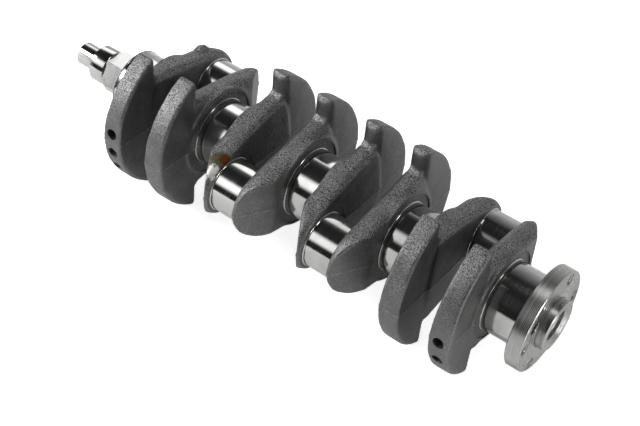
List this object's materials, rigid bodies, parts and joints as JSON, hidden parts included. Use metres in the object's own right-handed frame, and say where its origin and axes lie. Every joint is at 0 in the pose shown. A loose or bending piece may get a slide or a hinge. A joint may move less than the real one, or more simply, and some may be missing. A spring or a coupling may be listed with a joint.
{
  "type": "crankshaft",
  "caption": "Forged crankshaft for a small inline engine, with counterweighted webs, ground journals, a stepped snout and a drilled flywheel flange.",
  "frame": {"origin": "on the crank axis, half way along the shaft's whole length", "axes": "+X along the crank axis from snout to flywheel flange, +Y towards crankpins 1 and 4, +Z square to the plane of the throws"},
  "size_m": [0.4476, 0.1354, 0.1182],
  "materials": {
    "forged_skin": "as-forged steel, shot blasted, matt dark grey with a fine grain",
    "ground_journal": "ground and lapped bare steel, mirror bright",
    "turned_steel": "fine-turned bare steel, satin with rings round the axis"
  },
  "bodies": {
    "root": {"snout_tip": "turned_steel", "timing_gear_seat": "ground_journal", "oil_pump_drive": "turned_steel", "main_journal_1": "ground_journal", "main_journal_2": "ground_journal", "main_journal_3": "ground_journal", "main_journal_4": "ground_journal", "main_journal_5": "ground_journal", "crankpin_1": "ground_journal", "crankpin_2": "ground_journal", "crankpin_3": "ground_journal", "crankpin_4": "ground_journal", "web_1": "forged_skin", "web_2": "forged_skin", "web_3": "forged_skin", "web_4": "forged_skin", "web_5": "forged_skin", "web_6": "forged_skin", "web_7": "forged_skin", "web_8": "forged_skin", "flywheel_flange": "turned_steel", "flywheel_spigot": "turned_steel"}
  },
  "joints": []
}
